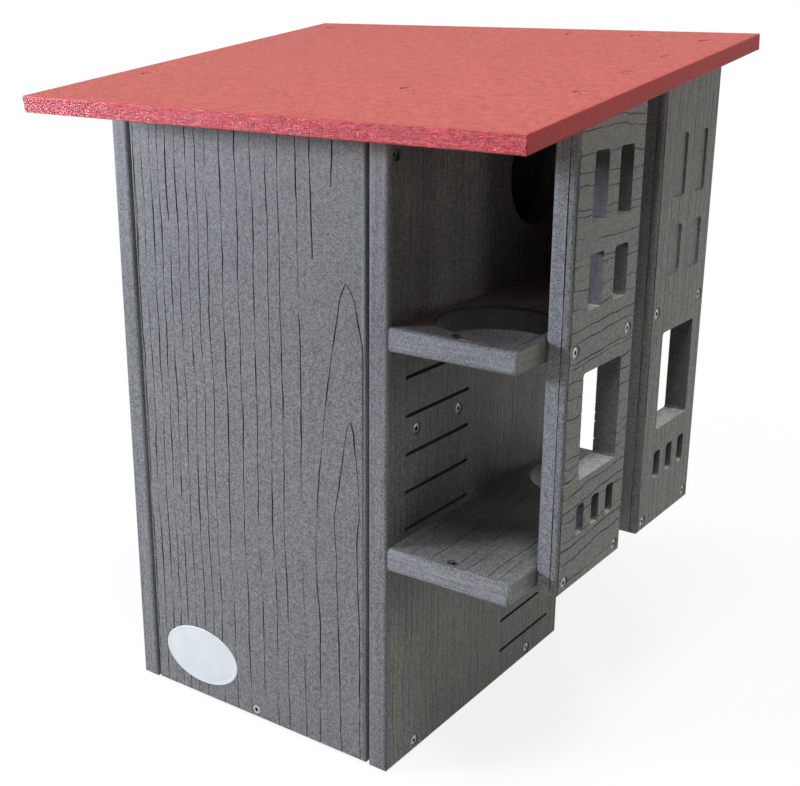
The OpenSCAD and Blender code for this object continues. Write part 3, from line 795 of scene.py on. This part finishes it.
def labelMaterial():
    material, tree, shader = startMaterial("labelWhite")
    place = addNode(tree, "ShaderNodeTexCoord").outputs["Object"]
    noise = noiseMask(tree, place, labelLook["noiseScale"], labelLook["noiseDetail"])
    feed(tree, shader.inputs["Base Color"], mixTones(tree, noise, labelLook["dark"], labelLook["light"]))
    bump = addNode(tree, "ShaderNodeBump", Height=noise, Distance=labelLook["relief"])
    feed(tree, shader.inputs["Normal"], bump.outputs[0])
    shader.inputs["Roughness"].default_value = labelLook["roughness"]
    shader.inputs["Coat Weight"].default_value = labelLook["coat"]
    return material


def makeLabel():
    low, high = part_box("oval_label")
    centre, half = (low + high) / 2, (high - low) / 2
    shell = bmesh.new()
    outer = ((1.0, 0.0), (1.0, 0.5), (1 - labelShape["edge"] / half.z, 0.85))
    rings = []
    for reach, height in outer + labelShape["rim"] + labelShape["dome"]:
        ring = []
        for k in range(labelShape["sides"]):
            angle = math.tau * k / labelShape["sides"]
            x = centre.x + half.x * reach * math.cos(angle)
            z = centre.z + half.z * reach * math.sin(angle)
            ring.append(shell.verts.new((x, high.y - 2 * half.y * height, z)))
        rings.append(ring)
    closeLoft(shell, rings, (centre.x, low.y, centre.z))
    mesh = meshFrom(shell, "ovalLabel")
    mesh.materials.append(labelMaterial())
    mesh.shade_smooth()
    mesh.set_sharp_from_angle(angle=math.radians(labelShape["sharpAngle"]))
    label = linkObject("ovalLabel", mesh)
    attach(label, "door")
    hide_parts("oval_label")


makeLabel()
print("label made")


# Floor, background, lights and camera
# To the camera the floor fades to white between two distances, which leaves a faint shadow under the box
stage = {"floorSize": 12.0, "floorDrop": 0.0003, "floorColor": (0.444, 0.438, 0.387),
         "seenColor": (1.0, 1.0, 1.0), "floorRoughness": 0.9, "cameraWhite": 0.86, "whiteFrom": 0.45,
         "whiteBy": 1.1, "skyStrength": 0.02, "skyColor": (0.97, 0.985, 1.0)}
# A lamp's level of 1 shows a white sheet as white; a lamp that isn't mirrored adds no gloss
lamps = {
    "keyLamp": {"toward": (-0.70, -0.69, 0.25), "distance": 2.2, "size": 0.6, "height": 0.3, "level": 0.875,
                "color": (0.91, 0.98, 1.14)},
    "topLamp": {"toward": (0.25, -0.3, 1.0), "distance": 2.4, "size": 0.8, "height": 0.8, "level": 0.83,
                "color": (1.0, 1.0, 1.0)},
    "sideLamp": {"toward": (0.80, 0.42, 0.2), "distance": 2.2, "size": 0.9, "height": 0.7, "level": 0.18,
                 "color": (1.0, 0.97, 0.82)},
    "leftLamp": {"toward": (-0.9, -0.38, 0.26), "distance": 0.85, "size": 0.2, "height": 0.2, "level": 0.22,
                 "color": (0.92, 0.98, 1.16)},
    "backLamp": {"toward": (-0.55, 0.8, 0.2), "distance": 2.2, "size": 0.9, "height": 0.6, "level": 0.34,
                 "color": (1.0, 1.0, 1.0), "isMirrored": False},
}
cameraSetup = {"place": (0.63656, -0.85153, 0.60249), "turn": (72.206, -0.457, 34.791), "lens": 55.71,
               "sensor": 36.0}


def cameraRayMask(tree):
    path = addNode(tree, "ShaderNodeLightPath").outputs
    seen = mathNode(tree, "MAXIMUM", path["Is Camera Ray"], path["Is Glossy Ray"])
    return mathNode(tree, "MAXIMUM", seen, path["Is Transmission Ray"])


def makeFloor():
    half = stage["floorSize"] / 2
    mesh = bpy.data.meshes.new("floor")
    corners = [(x * half, y * half, -stage["floorDrop"]) for x, y in ((-1, -1), (1, -1), (1, 1), (-1, 1))]
    mesh.from_pydata(corners, [], [(0, 1, 2, 3)])
    material, tree, shader = startMaterial("paleFloor")
    color = mixTones(tree, cameraRayMask(tree), (*stage["floorColor"], 1), (*stage["seenColor"], 1))
    feed(tree, shader.inputs["Base Color"], color)
    shader.inputs["Roughness"].default_value = stage["floorRoughness"]
    shader.inputs["Specular IOR Level"].default_value = 0.0
    white = addNode(tree, "ShaderNodeEmission", Strength=1.0)
    place = addNode(tree, "ShaderNodeTexCoord").outputs["Object"]
    distance = addNode(tree, "ShaderNodeVectorMath", {"operation": "LENGTH"})
    feed(tree, distance.inputs[0], place)
    share = addNode(tree, "ShaderNodeMapRange", Value=distance.outputs["Value"])
    for name, value in (("From Min", stage["whiteFrom"]), ("From Max", stage["whiteBy"]),
                        ("To Min", stage["cameraWhite"]), ("To Max", 1.0)):
        share.inputs[name].default_value = value
    mix = addNode(tree, "ShaderNodeMixShader")
    feed(tree, mix.inputs[0], mathNode(tree, "MULTIPLY", cameraRayMask(tree), share.outputs[0]))
    feed(tree, mix.inputs[1], shader.outputs[0])
    feed(tree, mix.inputs[2], white.outputs[0])
    feed(tree, tree.nodes["Material Output"].inputs["Surface"], mix.outputs[0])
    mesh.materials.append(material)
    linkObject("floor", mesh)


def makeWorld():
    world = bpy.data.worlds.new("studio")
    scene.world = world
    world.use_nodes = True
    tree = world.node_tree
    tree.nodes.clear()
    sky = (*stage["skyColor"], 1)
    soft = addNode(tree, "ShaderNodeBackground", Color=sky, Strength=stage["skyStrength"])
    white = addNode(tree, "ShaderNodeBackground", Color=(1, 1, 1, 1), Strength=1.0)
    mix = addNode(tree, "ShaderNodeMixShader", Fac=cameraRayMask(tree))
    feed(tree, mix.inputs[1], soft.outputs[0])
    feed(tree, mix.inputs[2], white.outputs[0])
    output = addNode(tree, "ShaderNodeOutputWorld")
    feed(tree, output.inputs["Surface"], mix.outputs[0])


def makeLamps():
    low, high = Vector(cadBox[0]), Vector(cadBox[1])
    target = (low + high) / 2
    for name, setup in lamps.items():
        data = bpy.data.lights.new(name, "AREA")
        data.shape = "RECTANGLE"
        data.size = setup["size"]
        data.size_y = setup["height"]
        data.energy = setup["level"] * math.pi ** 2 * setup["distance"] ** 2
        data.color = setup["color"]
        lamp = bpy.data.objects.new(name, data)
        scene.collection.objects.link(lamp)
        toward = Vector(setup["toward"]).normalized()
        lamp.visible_glossy = setup.get("isMirrored", True)
        lamp.location = target + toward * setup["distance"]
        lamp.rotation_euler = toward.to_track_quat("Z", "Y").to_euler()


def makeCamera():
    data = bpy.data.cameras.new("camera")
    data.sensor_width = cameraSetup["sensor"]
    data.sensor_fit = "HORIZONTAL"
    data.lens = cameraSetup["lens"]
    camera = bpy.data.objects.new("camera", data)
    scene.collection.objects.link(camera)
    camera.location = cameraSetup["place"]
    camera.rotation_euler = Euler([math.radians(angle) for angle in cameraSetup["turn"]])
    scene.camera = camera


makeFloor()
makeWorld()
makeLamps()
makeCamera()
print("stage made")
